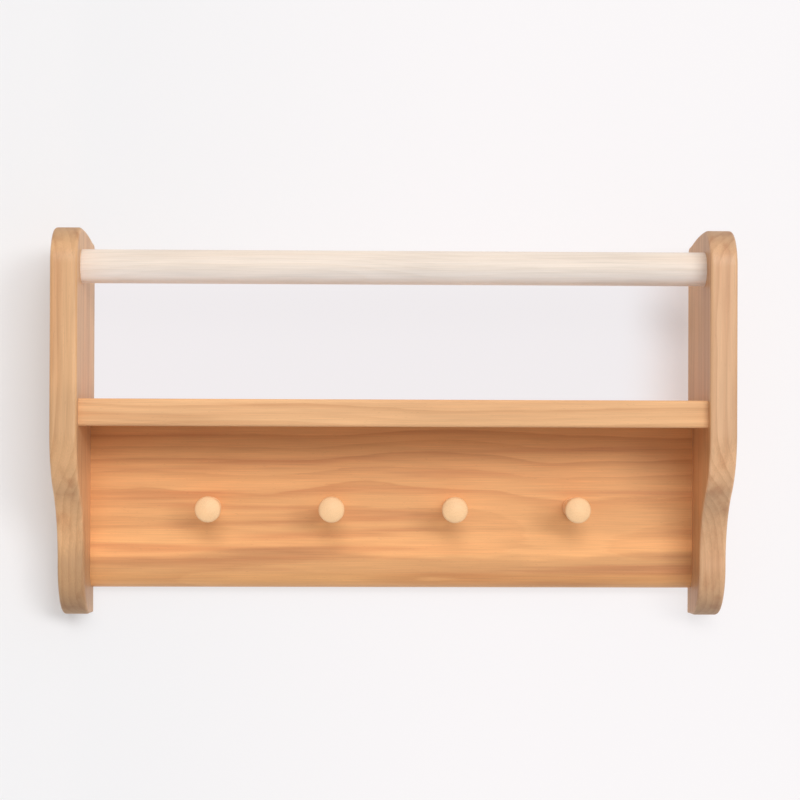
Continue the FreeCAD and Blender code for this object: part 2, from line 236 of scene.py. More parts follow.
def sew(shell, name, slot, *replaced):
    """Make the mesh in metres, merge what falls together, and smooth all but the real corners."""
    mesh = bpy.data.meshes.new(name)
    mesh.from_pydata((np.concatenate(shell.points) * MM).tolist(), [], shell.faces)
    worn = mesh.attributes.new("worn", "FLOAT", "POINT")
    worn.data.foreach_set("value", np.concatenate(shell.worn))
    work = bmesh.new()
    work.from_mesh(mesh)
    bmesh.ops.remove_doubles(work, verts=work.verts, dist=JOIN)
    bmesh.ops.dissolve_degenerate(work, edges=work.edges, dist=SLIVER)
    bmesh.ops.recalc_face_normals(work, faces=work.faces)
    open_edges = sum(not edge.is_manifold for edge in work.edges)
    volume = work.calc_volume()
    work.to_mesh(mesh)
    work.free()
    mesh.shade_smooth()
    mesh.set_sharp_from_angle(angle=CORNER)
    thing = bpy.data.objects.new(name, mesh)
    bpy.context.scene.collection.objects.link(thing)
    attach(thing, "root")
    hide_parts(*replaced)
    points = np.array([v.co for v in mesh.vertices])
    low, high = (np.array(corner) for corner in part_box(replaced[0]))
    off = max(abs(points.min(0) - low).max(), abs(points.max(0) - high).max()) / MM
    print(f"{name}: {len(mesh.polygons)} faces, {open_edges} open edges,",
          f"{volume / MM**3 / 1000:.1f} cm3, box within {off:.2f} mm of its solid")
    return thing


# %% [markdown]
# ## The side panels
#
# A side panel is cut on a band saw and sanded: the top falls to the wall from a round front corner,
# the front edge runs straight past the shelf, sweeps back in an S and ends in a narrow round foot.
# It could be an extruded outline with a bevel, but a bevel tears where arcs meet. Here the outline
# is one path of arcs whose outward direction is known at each point, and the profile of the edge is
# carried round it, so the sanded round keeps its width through every curve.

# %% The outline of a side panel
def arc(y, z, radius, start, end, count):
    """Points of a circle about (y, z) from angle start to end, and the outward side at each."""
    angle = np.linspace(start, end, count)
    out = np.stack([-np.cos(angle), np.sin(angle)], -1)
    hollow = -1 if radius < 0 else 1
    return np.array([y, z]) + abs(radius) * out, out * hollow


def panel_path():
    """The outline from the wall by the foot, the front and the crown back to the wall.

    Each row is a point (y, z) and the direction that points out of the wood there.
    """
    turn = math.acos(1 - (DEPTH - WAIST) / (SHOULDER + HOLLOW))
    hollow_z = SCOOP_TOP - (SHOULDER + HOLLOW) * math.sin(turn)
    foot = min(FOOT_ROUND, hollow_z - FOOT, WAIST)
    crown_y = SETBACK - DEPTH
    crown = (crown_y**2 + CROWN_FALL**2) / (2 * CROWN_FALL)
    back_z = TOP - crown + math.sqrt((crown - CROWN_BACK)**2 - (crown_y + CROWN_BACK)**2)
    lean = math.asin((-crown_y - CROWN_BACK) / (crown - CROWN_BACK))
    under = np.linspace(0, foot - WAIST, 9)[:, None]
    parts = [
        (np.pad(under, ((0, 0), (0, 1)), constant_values=FOOT), np.tile([0.0, -1.0], (9, 1))),
        arc(foot - WAIST, FOOT + foot, foot, -QUARTER, 0, 29),
        arc(-WAIST - HOLLOW, hollow_z, -HOLLOW, math.pi, math.pi - turn, 31),
        arc(SHOULDER - DEPTH, SCOOP_TOP, SHOULDER, -turn, 0, 35),
        arc(crown_y, TOP - SETBACK, SETBACK, 0, QUARTER, 29),
        arc(crown_y, TOP - crown, crown, QUARTER, QUARTER + lean, 17),
        arc(-CROWN_BACK, back_z, CROWN_BACK, QUARTER + lean, math.pi, 13),
    ]
    points = np.concatenate([part[0] for part in parts])
    outs = np.concatenate([part[1] for part in parts])
    apart = np.linalg.norm(np.diff(points, axis=0, prepend=points[:1] - 1), axis=1) > 1e-6
    return points[apart], outs[apart]


path, outward = panel_path()
print("outline:", len(path), "points, from", path[0], "to", path[-1].round(2))

# %% [markdown]
# The profile of the edge runs from one broad face over the edge to the other. It is a quarter round
# at each side and flat between. One more row of points lies just inside each flat: without it the
# soft shading of the round would bleed across the whole board. Near the wall the round dies away,
# because a carpenter leaves the edges that meet the wall nearly square.

# %% Carry the edge's profile round the outline
BESIDE = 0.6                 # from a round to the row of points beside it on the flat
FADE = 14.0                  # distance from the wall within which the sanded round dies away
LEAST_ROUND = 0.5            # what is left of it at the wall


def edge_profile(radius, half, count=7):
    """Across the edge: x, how far inside the outline the surface lies, and how worn it is.

    Each side is half of the thickness less the radius, plus the radius times a sine, and the
    inset is the radius times one less a cosine. Wear is most in the middle of the round. Radius
    is an array, one for each path point.
    """
    radius = np.asarray(radius, float)[:, None]
    angle = np.linspace(0, QUARTER, count)[None, :]
    x = half - radius + radius * np.sin(angle)
    inset = radius * (1 - np.cos(angle))
    worn = np.broadcast_to(np.sin(2 * angle), x.shape)
    x = np.hstack([x[:, :1] - BESIDE, x, x[:, -1:]])
    inset = np.hstack([inset[:, :1], inset, inset[:, -1:] + BESIDE])
    worn = np.pad(worn, ((0, 0), (1, 1)))
    signed = ((-1, x), (1, inset), (1, worn))
    return tuple(np.hstack([sign * part[:, ::-1], part]) for sign, part in signed)


def side_panel(side):
    """One side panel as a closed shell, side -1 on the left and 1 on the right."""
    shell = Shell()
    middle, inner = side * (INNER + THICK / 2), side * INNER
    fade = np.clip(-path[:, 0] / FADE, 0, 1)
    radius = LEAST_ROUND + (ROUND - LEAST_ROUND) * fade**2 * (3 - 2 * fade)
    # two more points close the path along the wall, and at the foot's corner the way out of the
    # wood lies between the wall's and the underside's
    loop = np.vstack([path, [path[-1] - [0, 2 * BESIDE]], [[0, FOOT]]])
    outs = np.vstack([outward, [[1, 0]], [[1, 0]]])
    outs[[0, -1]] = [1, -1]
    radius = np.append(radius, [LEAST_ROUND] * 2)
    x, inset, worn = edge_profile(radius, THICK / 2)
    yz = loop[:, None, :] - inset[:, :, None] * outs[:, None, :]
    points = np.concatenate([middle + x[:, :, None], yz], -1)
    # the flat strip that faces the wall is left out: it has the hanger's recess in it
    strip = points.shape[1] // 2 - 1
    keep = np.ones((len(loop) - 1, points.shape[1] - 1), bool)
    keep[-1, strip] = False
    shell.grid(points, keep, worn)
    dowels = [circle(place, DOWEL_RADIUS + GLUE_GAP) for place in DOWEL_PLACES]
    socket = circle((SETBACK - DEPTH, TOP - SETBACK), RAIL_RADIUS + GLUE_GAP, 64)
    near, far = (yz[:-1, 0], yz[:-1, -1]) if side > 0 else (yz[:-1, -1], yz[:-1, 0])
    shell.flat(0, inner, near, [socket] + dowels)
    shell.flat(0, inner + side * THICK, far)
    for outline in dowels:
        shell.hole(0, inner, side * HOLE_DEPTH, outline)
    shell.hole(0, inner, side * RAIL_SOCKET, socket)
    edge = points[[-2, -2, -1, -1], [strip, strip + 1, strip + 1, strip]]
    recess = obround(middle, HANGER_Z - PLATE_HALF, HANGER_Z + PLATE_HALF, PLATE_RADIUS)
    pocket = obround(middle, HANGER_Z - POCKET_HALF, HANGER_Z + POCKET_HALF, POCKET_RADIUS)
    shell.flat(1, 0.0, edge[:, [0, 2]], [recess])
    walls = np.vstack([recess, recess[:1]])
    shell.grid(np.stack([np.insert(walls, 1, d, axis=1) for d in (0.0, -PLATE_DEEP)]))
    shell.flat(1, -PLATE_DEEP, recess, [pocket])
    shell.hole(1, -PLATE_DEEP, PLATE_DEEP - POCKET_DEEP, pocket)
    return shell


left_panel = sew(side_panel(-1), "left_panel_board", "hardwood", "left_side_panel")
right_panel = sew(side_panel(1), "right_panel_board", "hardwood", "right_side_panel")

# %% [markdown]
# ## The boards
#
# The shelf and the backboard are planed boards. A box with a bevel would do for one of them, but
# the backboard's lower front edge has a round of its own. So each board is a section, a rectangle
# with four corner radii, carried from one side panel to the other. Its dowel and peg holes go into
# the flat patches.

# %% A board from its section
def section(low, high, depth, rounds):
    """A rectangle with rounded corners, in y and z, and the number of points at each corner.

    The corners come in the order low front, low back, high back, high front. Each is a quarter
    circle about a centre that lies inside the corner by its radius, with one point before and one
    behind it on the flats.
    """
    places = ((-depth, low, 1, 1), (0.0, low, -1, 1), (0.0, high, -1, -1), (-depth, high, 1, -1))
    corners = []
    for number, ((y, z, in_y, in_z), radius) in enumerate(zip(places, rounds)):
        angle = math.pi + number * QUARTER + np.linspace(0, QUARTER, 9)
        centre = np.array([y + in_y * radius, z + in_z * radius])
        curve = centre + radius * np.stack([np.cos(angle), np.sin(angle)], -1)
        before = curve[0] + BESIDE * np.array([math.sin(angle[0]), -math.cos(angle[0])])
        behind = curve[-1] + BESIDE * np.array([-math.sin(angle[-1]), math.cos(angle[-1])])
        corners.append(np.vstack([before, curve, behind]))
    return np.concatenate(corners), len(corners[0])


def board(outline, corner, ends, drilled):
    """A section carried from end to end, with holes in its ends and in the sides that are drilled.

    drilled gives, for the number of the corner before a side, the side's axis, its level, how deep
    its holes go, and their outlines.
    """
    shell = Shell()
    closed = np.vstack([outline, outline[:1]])
    x = np.array([-INNER, INNER])
    points = np.concatenate([
        np.broadcast_to(x[:, None, None], (2, len(closed), 1)),
        np.broadcast_to(closed[None], (2, len(closed), 2)),
    ], -1)
    keep = np.ones((1, len(outline)), bool)
    for number, (axis, level, depth, holes) in drilled.items():
        strip = (number + 1) * corner - 1
        keep[0, strip] = False
        patch = points[[0, 0, 1, 1], [strip, strip + 1, strip + 1, strip]]
        shell.flat(axis, level, np.delete(patch, axis, axis=1), holes)
        for hole in holes:
            shell.hole(axis, level, depth, hole)
    worn = np.tile(np.sin(np.linspace(0, math.pi, corner)), 4)
    shell.grid(points, keep, np.tile(np.append(worn, worn[0]), (2, 1)))
    for side in (-1, 1):
        shell.flat(0, side * INNER, outline, ends)
        for hole in ends:
            shell.hole(0, side * INNER, -side * HOLE_DEPTH, hole)
    return shell


end_holes = [circle(place, DOWEL_RADIUS + GLUE_GAP) for place in DOWEL_PLACES]
upright = [circle((side * UPRIGHT_X, -THICK / 2), DOWEL_RADIUS + GLUE_GAP) for side in (-1, 1)]
rounds = (ROUND, BACK_ROUND, BACK_ROUND, ROUND)
outline, corner = section(SHELF_LOW, SHELF_HIGH, SHELF_DEPTH, rounds)
shelf_shell = board(outline, corner, end_holes[:2],
                    {0: (2, SHELF_LOW, UPRIGHT_HIGH - SHELF_LOW, upright)})
shelf = sew(shelf_shell, "shelf_plank", "hardwood", "shelf_board")

rounds = (NOSE, BACK_ROUND, BACK_ROUND, BACK_ROUND)
outline, corner = section(BOARD_LOW, SHELF_LOW, THICK, rounds)
peg_holes = [circle((x, 0), TENON_RADIUS + GLUE_GAP) for x in PEG_PLACES]
backboard_shell = board(outline, corner, end_holes[2:],
                        {2: (2, SHELF_LOW, UPRIGHT_LOW - SHELF_LOW, upright),
                         3: (1, -THICK, HOLE_DEPTH, peg_holes)})
backboard = sew(backboard_shell, "back_plank", "hardwood", "peg_backboard")

# %% [markdown]
# ## The rail and the pegs
#
# Both are round work. The rail is plain dowel stock, let into a socket in each panel. A peg is
# turned on a lathe in one piece: a tenon that is glued into the board, a shoulder, a shaft that
# tapers with a slight hollow, and a head like a button mushroom. A lathe makes a surface of
# revolution, so a profile of distance and radius, turned about its axis, is the natural way.

# %% Turn a profile about an axis
def turned(profile, start, axis, count):
    """A surface of revolution, in millimetres.

    A point of it is the start, plus the distance along the axis, plus the radius times the cosine
    of the angle on one side vector and its sine on the other.
    """
    axis = np.array(axis, float)
    side = np.array([0.0, 0.0, 1.0])
    other = np.cross(axis, side)
    angle = np.linspace(0, 2 * math.pi, count + 1)
    spoke = np.cos(angle)[:, None] * side + np.sin(angle)[:, None] * other
    along, radius = np.asarray(profile, float).T
    points = np.array(start) + along[:, None, None] * axis + radius[:, None, None] * spoke
    shell = Shell()
    shell.grid(points)
    return shell


rail_end = INNER + RAIL_SOCKET
rail_profile = [
    (0, 0),
    (0, RAIL_RADIUS - RAIL_CHAMFER),
    (RAIL_CHAMFER, RAIL_RADIUS),
    (2 * rail_end - RAIL_CHAMFER, RAIL_RADIUS),
    (2 * rail_end, RAIL_RADIUS - RAIL_CHAMFER),
    (2 * rail_end, 0),
]
rail_start = (-rail_end, SETBACK - DEPTH, TOP - SETBACK)
rail_shell = turned(rail_profile, rail_start, (1, 0, 0), count=96)
rail = sew(rail_shell, "rail_dowel", "pale_wood", "front_rail")


# %% The profile of a peg
def bend(along, radius, bow, start, end, count):
    """Part of a circle in a profile: its centre's distance and radius, its own, and two angles."""
    angle = np.linspace(start, end, count)
    return np.stack([along + bow * np.sin(angle), radius + bow * np.cos(angle)], -1)


def peg_profile():
    """Distance from the board and radius, from the tenon's end to the tip of the head.

    The shaft's radius falls evenly, less a shallow sine. A small hollow round leads it out to the
    rim, the rim is a small round, and the cap is a large circle that leaves the rim without a
    corner.
    """
    head_length, rim, rim_round = 7.0, 7.15, 2.6
    shaft_at, thick_end, thin_end, hollow = 2.4, 7.4, 4.6, 0.45
    chamfer = 1.0
    rim_at = PEG_REACH - head_length + rim_round
    flare = rim - thin_end
    neck_at = rim_at - rim_round - flare
    rise = PEG_REACH - rim_at
    cap = (rim**2 + rise**2 - rim_round**2) / (2 * (rise - rim_round))
    lean = QUARTER - math.asin(rim / (cap - rim_round))
    step = np.linspace(0, 1, 25)[1:-1]
    along = shaft_at + step * (neck_at - shaft_at)
    radius = thick_end - step * (thick_end - thin_end) - hollow * np.sin(math.pi * step)
    return np.vstack([
        # the tenon and the shoulder's face, then the shoulder's two small rounds
        [(-TENON_LENGTH, 0), (-TENON_LENGTH, TENON_RADIUS - chamfer)],
        [(chamfer - TENON_LENGTH, TENON_RADIUS), (0, TENON_RADIUS), (0, 7.5)],
        bend(0.3, 7.3, 0.3, -QUARTER, 0, 4),
        bend(1.9, 7.2, 0.4, 0, QUARTER * 0.9, 5),
        # the shaft, the hollow round that leads out of it, the rim and the cap
        np.stack([along, radius], -1),
        bend(neck_at, rim, flare, math.pi, QUARTER, 10),
        bend(rim_at, rim, rim_round, -QUARTER, lean, 19),
        bend(PEG_REACH - cap, 0, cap, lean, QUARTER, 16),
    ])


profile = peg_profile()
profile[-1, 1] = 0                                # the tip lies on the axis, to the last digit
pegs = [
    sew(turned(profile, (x, -THICK, 0), (0, -1, 0), count=80),
        f"turned_peg_{number}", "pale_wood", f"peg_{number}")
    for number, x in enumerate(PEG_PLACES, 1)
]

# %% [markdown]
# ## The screws
#
# The four small screws are good as they were drawn. But at the tip of each, where its solid ends in
# a sharp point, the mesh has one triangle without an area. A solid's own mesh is never changed. So
# each screw is shown by a copy, and sewing the copy's loose triangles together takes that one away.

# %% Copy the screws
def copied(node):
    """The triangles of a solid's mesh as a shell, in millimetres."""
    points = np.empty((len(node.data.vertices), 3), np.float32)
    node.data.vertices.foreach_get("co", points.ravel())
    corners = np.empty((len(node.data.polygons), 3), np.int32)
    node.data.polygons.foreach_get("vertices", corners.ravel())
    shell = Shell()
    shell.add(points / MM, corners)
    return shell


screws = [sew(copied(node), name.replace("hanger", "plate"), "screw_steel", name)
          for name, node in nodes.items() if "screw" in name]

# %% [markdown]
# ## Finishes as formulas
#
# Wood is a solid material: a ring that shows on the face of a board runs on round its edge and
# shows again on its end. A painted picture can't do that, but a formula in space can. Each finish
# below reads the place of a point in the object and works out its colour there. The formulas are
# written as plain sums: a small class stands for a socket, and each sum adds the node it needs.

# %% Sockets that can be summed
class Wire:
    """A socket of a finish. Sums of wires and numbers add Math nodes to the finish."""

    def __init__(self, finish, socket):
        self.finish = finish
        self.socket = socket

    def sum(self, operation, *values):
        """Add a Math node, and give it its values."""
        return self.finish.node("Math", {"operation": operation}, dict(enumerate(values)))

    def __add__(self, other):
        return self.sum("ADD", self, other)

    def __sub__(self, other):
        return self.sum("SUBTRACT", self, other)

    def __rsub__(self, other):
        return self.sum("SUBTRACT", other, self)

    def __mul__(self, other):
        return self.sum("MULTIPLY", self, other)

    def __truediv__(self, other):
        return self.sum("DIVIDE", self, other)

    def __abs__(self):
        return self.sum("ABSOLUTE", self)

    __radd__ = __add__


class Finish:
    """A material or a world whose nodes are all made by one method."""

    def __init__(self, owner):
        self.owner = owner
        owner.use_nodes = True
        self.tree = owner.node_tree
        self.tree.nodes.clear()

    def node(self, kind, settings=None, values=None, result=0):
        """Add a node: its settings first, then the value or the link of each socket named.

        The stops of a ramp are given as places and greys.
        """
        made = self.tree.nodes.new("ShaderNode" + kind)
        for name, value in (settings or {}).items():
            if name == "stops":
                for _ in value[2:]:
                    made.color_ramp.elements.new(0.5)
                for element, (place, grey) in zip(made.color_ramp.elements, value):
                    element.position = place
                    element.color = (grey, grey, grey, 1)
            else:
                setattr(made, name, value)
        for name, value in (values or {}).items():
            socket = self.find(made.inputs, name)
            if isinstance(value, Wire):
                self.tree.links.new(value.socket, socket)
            else:
                socket.default_value = value
        return Wire(self, self.find(made.outputs, result)) if made.outputs else None

    def find(self, sockets, name):
        """A socket by its number or its name. A Mix node's are told apart by their identifier."""
        if isinstance(name, int):
            return sockets[name]
        return next(s for s in sockets if name in (s.identifier, s.name))

    def blend(self, share, first, second):
        """A mix of two colours by a share from 0 to 1."""
        values = {"Factor_Float": share, "A_Color": first, "B_Color": second}
        return self.node("Mix", {"data_type": "RGBA"}, values, "Result_Color")

    def vector(self, operation, *values, result="Vector"):
        """Vector maths: on two vectors, or with result "Value" the number that comes of one."""
        return self.node("VectorMath", {"operation": operation}, dict(enumerate(values)), result)

    def millimetres(self):
        """The place of a point in the object, in millimetres."""
        return self.vector("MULTIPLY", self.node("TexCoord", result="Object"), (1 / MM,) * 3)

    def noise(self, place, scale, detail, rough, result="Fac"):
        """Cloudy noise, on a place in millimetres that is first stretched by a scale per axis."""
        near = self.vector("MULTIPLY", place, scale)
        values = {"Vector": near, "Scale": 1.0, "Detail": detail, "Roughness": rough}
        return self.node("TexNoise", {"noise_dimensions": "3D"}, values, result)

    def step(self, value, low, high):
        """0 below low, 1 above high, and a smooth rise between."""
        return self.node("MapRange", {"interpolation_type": "SMOOTHSTEP"},
                         {"Value": value, "From Min": low, "From Max": high})

    def facing(self, axis, least, both=True):
        """1 where the surface looks along an axis, 0 where the cosine between them is the least.

        A surface that looks the other way along the axis counts too, unless both is False.
        """
        normal = self.node("TexCoord", result="Normal")
        cosine = self.vector("DOT_PRODUCT", normal, axis, result="Value")
        return self.step(abs(cosine) if both else cosine, least, 1.0)

    def surface(self, **values):
        """End the finish in the usual shader, and return its material."""
        names = {name.replace("_", " "): value for name, value in values.items()}
        shader = self.node("BsdfPrincipled", values=names)
        self.node("OutputMaterial", values={"Surface": shader})
        return self.owner


def colour(red, green, blue):
    """A colour given as it looks on a screen, 0 to 255, in the linear light that shaders use."""
    part = np.array([red, green, blue]) / 255
    linear = np.where(part <= 0.04045, part / 12.92, ((part + 0.055) / 1.055) ** 2.4)
    return (*linear.tolist(), 1.0)


print("honey in linear light:", [round(v, 3) for v in colour(222, 160, 107)[:3]])

# %% [markdown]
# ## Wood
#
# A tree grows in rings round its pith, and a board is a slice of them. Seen lengthways the rings
# are long streaks that drift up and down, because no trunk is straight. A picture of streaks could
# be wrapped round each board, but its edges and ends would give it away. Here a board is laid into
# a trunk: the distance from a pith that lies somewhere behind it gives the ring, and slow noise
# bends the rings. Over them lie fine fibres, short dark pores that show as dots on the ends, and a
# slow change of tone from honey to red-brown. Some pieces are lighter or darker in bands at given
# heights: on the backboard a lighter band and a darker one near the bottom; on the side panels
# painted shade on the feet, painted light in the hollow of the scoop, and on the left one a darker
# band round the shelf's height. The panels' broad faces carry painted light on the left panel and
# painted shade on the right one, and the underside of the rail has painted light.

# %% One wood for every piece
# the turn that lays each axis along x
TURNS = {
    "x": (0.0, 0.0, 0.0),
    "y": (0.0, 0.0, -QUARTER),
    "z": (0.0, QUARTER, 0.0),
}
AXES = {"x": (1.0, 0.0, 0.0), "y": (0.0, 1.0, 0.0), "z": (0.0, 0.0, 1.0)}
DOWN = (0.0, 0.0, -1.0)
# how dark a ring is from its start in spring to its end in autumn
GROWTH = [(0.0, 0.12), (0.45, 0.22), (0.82, 0.8), (0.93, 1.0), (1.0, 0.12)]


def wood(name, grain, pith, tones, ring=5.0, sway=14.0, contrast=0.5, pores=0.5, gloss=0.46,
         streak=0.5, ends=0.3, turned_marks=0.0, bands=(), faces=None):
    """A wood finish. Grain is the axis it runs along, and pith tells where the trunk's middle lies.

    Tones are the pale early wood, the dark late wood and the red-brown of the slow streaks. Ring
    is a ring's width, sway how far the trunk bends, and contrast, pores, streak, ends and turned
    marks are strengths. A band is a height, half its width, and how much lighter the wood is there;
    some bands are tone, and others are painted light and painted shade. Lengths are in millimetres,
    and a noise's scale is per millimetre, along and across the grain. Faces gives an axis, the
    least cosine to it, whether both its ways count, and what the tone is multiplied by on the
    surfaces that look along it, which paints light onto a side that gets more light and shade onto
    one that gets less.
    """
    f = Finish(bpy.data.materials.new(name))
    pale, dark, russet = tones
    real = f.node("TexCoord", result="Object")
    # turned so that the grain runs along x, in millimetres, with the pith on the axis
    turning = {"Location": pith, "Rotation": TURNS[grain], "Scale": (1 / MM,) * 3}
    place = f.node("Mapping", {"vector_type": "POINT"}, {"Vector": real, **turning})
    bent = f.noise(place, (0.0045, 0.011, 0.011), 1.5, 0.5, "Color")
    bent = f.vector("SUBTRACT", bent, (0.5, 0.5, 0.5))
    bent = f.vector("MULTIPLY", bent, (0.0, 2 * sway, 2 * sway))
    across = f.vector("MULTIPLY", f.vector("ADD", place, bent), (0.0, 1.0, 1.0))
    far = f.vector("LENGTH", across, result="Value")
    ragged = f.noise(place, (0.02, 0.3, 0.3), 3.0, 0.55)
    year = far / ring + ragged * 0.4
    part = year.sum("FRACT", year)
    late = f.node("ValToRGB", {"stops": GROWTH}, {"Fac": part})
    late = f.node("RGBToBW", values={"Color": late})
    good_year = f.node("TexWhiteNoise", {"noise_dimensions": "1D"}, {"W": year.sum("FLOOR", year)})
    fibre = f.noise(place, (0.022, 1.9, 1.9), 4.0, 0.62)
    fine = f.noise(place, (0.05, 6.5, 6.5), 2.0, 0.5)
    cloud = f.noise(place, (0.008, 0.06, 0.06), 2.5, 0.5)
    tint = f.noise(place, (0.0035, 0.085, 0.085), 3.0, 0.55)
    # a pore is a cell stretched along the grain, dark near its middle
    stretched = f.vector("MULTIPLY", place, (0.11, 1.5, 1.5))
    cell = f.node("TexVoronoi", {"feature": "F1"},
                  {"Vector": stretched, "Scale": 1.0, "Randomness": 1.0})
    pore = (1 - f.step(cell, 0.06, 0.17)) * f.step(fibre, 0.4, 0.6)
    end = f.facing(AXES[grain], 0.3)
    edge = f.node("Attribute", {"attribute_name": "worn"}, result="Fac") * f.step(cloud, 0.3, 0.6)

    body = f.blend(late * (0.35 + good_year * 0.65) * contrast, pale, dark)
    body = f.blend(f.step(tint, 0.46, 0.72) * streak, body, russet)
    shade = 1 + (fibre - 0.5) * 0.42 + (fine - 0.5) * 0.16 + (cloud - 0.5) * 0.34
    shade = shade * (1 - pore * pores * 0.55) * (1 - end * ends) * (1 + edge * 0.07)
    # bands by height: some are tone, others painted light and painted shade
    for level, width, gain in bands:
        height = f.node("SeparateXYZ", values={"Vector": real}, result="Z") / MM
        apart = height + (cloud - 0.5) * 34 - level
        shade = shade * (1 + (1 - f.step(abs(apart), width * 0.3, width)) * gain)
    tone = f.node("VectorMath", {"operation": "SCALE"}, {0: body, "Scale": shade})
    # faces is painted light and painted shade: the tone changes on the surfaces that look along an
    # axis
    if faces:
        axis, least, both, change = faces
        tone = f.blend(f.facing(axis, least, both), tone, f.vector("MULTIPLY", tone, change))
    relief = fibre * 0.5 + fine * 0.2 + late * 0.12 - pore * pores * 1.2
    if turned_marks:
        relief = relief + f.noise(place, (2.6, 0.01, 0.01), 2.0, 0.5) * turned_marks
    bump = f.node("Bump", values={"Strength": 0.22, "Distance": 0.00025, "Height": relief})
    rough = gloss + (fibre - 0.5) * 0.18 + pore * 0.2 + end * 0.12 - edge * 0.06
    return f.surface(Base_Color=tone, Roughness=rough, Normal=bump)


def dress(things, material):
    """Give one finish to a list of objects, in place of what they had."""
    for thing in things:
        thing.data.materials.clear()
        thing.data.materials.append(material)


HONEY = (colour(236, 174, 113), colour(197, 124, 70), colour(191, 110, 63))
STRAW = (colour(233, 181, 131), colour(200, 139, 91), colour(198, 133, 84))
AMBER = (colour(224, 175, 127), colour(188, 131, 82), colour(184, 121, 74))
UMBER = (colour(221, 175, 133), colour(185, 131, 89), colour(181, 121, 80))
CREAM = (colour(237, 221, 206), colour(220, 199, 179), colour(226, 202, 179))
BLOND = (colour(255, 209, 158), colour(251, 194, 139), colour(253, 195, 140))
PLAIN = (colour(232, 200, 158), colour(206, 166, 118), colour(212, 172, 126))

# the left panel: painted light on its broad faces, painted shade on the foot, painted light in the
# scoop's hollow, and darker round the shelf's height
dress([left_panel], wood("honey_left_panel", "z", (0, 57, -186), AMBER, ring=5.5,
                         faces=(AXES["x"], 0.76, True, (1.06, 1.12, 1.2)),
                         bands=((-54, 36, -0.28), (10, 24, 0.14), (66, 34, -0.13))))
# the right panel: painted shade on its broad faces, painted shade on the foot and painted light in
# the scoop's hollow
dress([right_panel], wood("honey_right_panel", "z", (300, 40, 190), UMBER, ring=5.0,
                          faces=(AXES["x"], 0.76, True, (0.91, 0.84, 0.72)),
                          bands=((-62, 26, -0.1), (20, 30, 0.2))))
dress([shelf], wood("honey_shelf", "x", (70, 52, -14), STRAW, ring=5.5, gloss=0.74))
dress([backboard], wood("honey_backboard", "x", (-40, -62, 26), HONEY, ring=6.5,
                        bands=((-27, 11, 0.16), (-46, 14, -0.13))))
# the rail's underside is painted lighter: painted light from below
dress([rail], wood("cream_rail", "x", (0, 92, -150), CREAM, ring=4.0,
                   contrast=0.35, pores=0.2, streak=0.25,
                   faces=(DOWN, -0.2, False, (1.15, 1.28, 1.45))))
for number, (peg, x) in enumerate(zip(pegs, PEG_PLACES), 1):
    pith = (31 * number, x + 16 - 4 * number, 9 + 3 * number)
    dress([peg], wood(f"blond_peg_{number}", "y", pith, BLOND, ring=2.6, sway=4,
                      contrast=0.2, pores=0.2, streak=0.2, ends=0.02, turned_marks=0.5))
print("wood on", [thing.name for thing in (left_panel, right_panel, shelf, backboard, rail, *pegs)])

# %% [markdown]
# ## Dowels and hardware
#
# Ten fluted pins hold the boards together. They are out of sight, and plain hardwood suits them.
# A steel plate with a keyhole is let into the back of each panel, held by two small screws. Steel
# that has been zinc plated is grey and soft in gloss, with a faint patchwork of crystals, and its
# sheet was rolled lengthways. A brushed picture would need a layout, so cells and streaks do it.

# %% Pins, plates and screws
def zinc(name, tone, patch):
    """Zinc plating: cells of slightly different grey and gloss, under fine upright streaks."""
    f = Finish(bpy.data.materials.new(name))
    place = f.millimetres()
    cell = f.node("TexVoronoi", {"feature": "F1"},
                  {"Vector": f.vector("MULTIPLY", place, (patch,) * 3), "Scale": 1.0}, "Color")
    grey = f.node("RGBToBW", values={"Color": cell})
    streak = f.noise(place, (7.0, 7.0, 0.25), 3.0, 0.6)
    stain = f.noise(place, (0.12, 0.12, 0.12), 3.0, 0.5)
    dull = tuple(0.72 * v for v in tone[:3]) + (1.0,)
    body = f.blend(f.step(stain, 0.35, 0.75) * 0.4 + grey * 0.3, tone, dull)
    relief = streak + grey * 0.3
    bump = f.node("Bump", values={"Strength": 0.12, "Distance": 0.00008, "Height": relief})
    rough = 0.3 + grey * 0.14 + (streak - 0.5) * 0.2 + stain * 0.06
    return f.surface(Base_Color=body, Metallic=1.0, Roughness=rough, Normal=bump)


pins = [node for name, node in nodes.items() if "dowel" in name]
plates = [node for name, node in nodes.items() if name.endswith("plate")]
upright_pins = [pin for pin in pins if "upright" in pin.name]
level_pins = [pin for pin in pins if pin not in upright_pins]
small = {"ring": 2.5, "sway": 3, "contrast": 0.4}
dress(level_pins, wood("pin_wood", "x", (0, 30, 12), PLAIN, **small))
dress(upright_pins, wood("upright_pin_wood", "z", (0, 22, 8), PLAIN, **small))
dress(plates, zinc("plate_zinc", colour(214, 217, 220), 0.35))
dress(screws, zinc("screw_zinc", colour(204, 203, 196), 1.2))
print(len(pins), "pins,", len(plates), "plates and", len(screws), "screws are finished")

# %% [markdown]
# ## Wall, floor and light
#
# The shelf hangs on a white wall in soft light from a wide lamp in front, a little to the right and
# a little above. A lamp close by would fall off across the shelf. Three suns, from high in the
# middle to low on the right, give the same wide, low light everywhere: an upright edge throws a
# broad soft shadow, a level edge a narrower one. A white world fills them. It is dimmest level with
# the shelf, brighter from above and below, and brighter from behind as well, which stands for the
# light that a white wall throws back.
#
# Wall and floor are sheets that only the eye and gloss can see, and only from their front: so the
# wall takes the shelf's shadow, and still lets light reach the back when the shelf is turned round.
# Part of the wall's white is its own, because the bright wall of the photograph shows a shadow to
# the left of the shelf alone. Its white is a little brighter to the right, and between the panels,
# where less light comes, it is painted greyer, a painted shade.

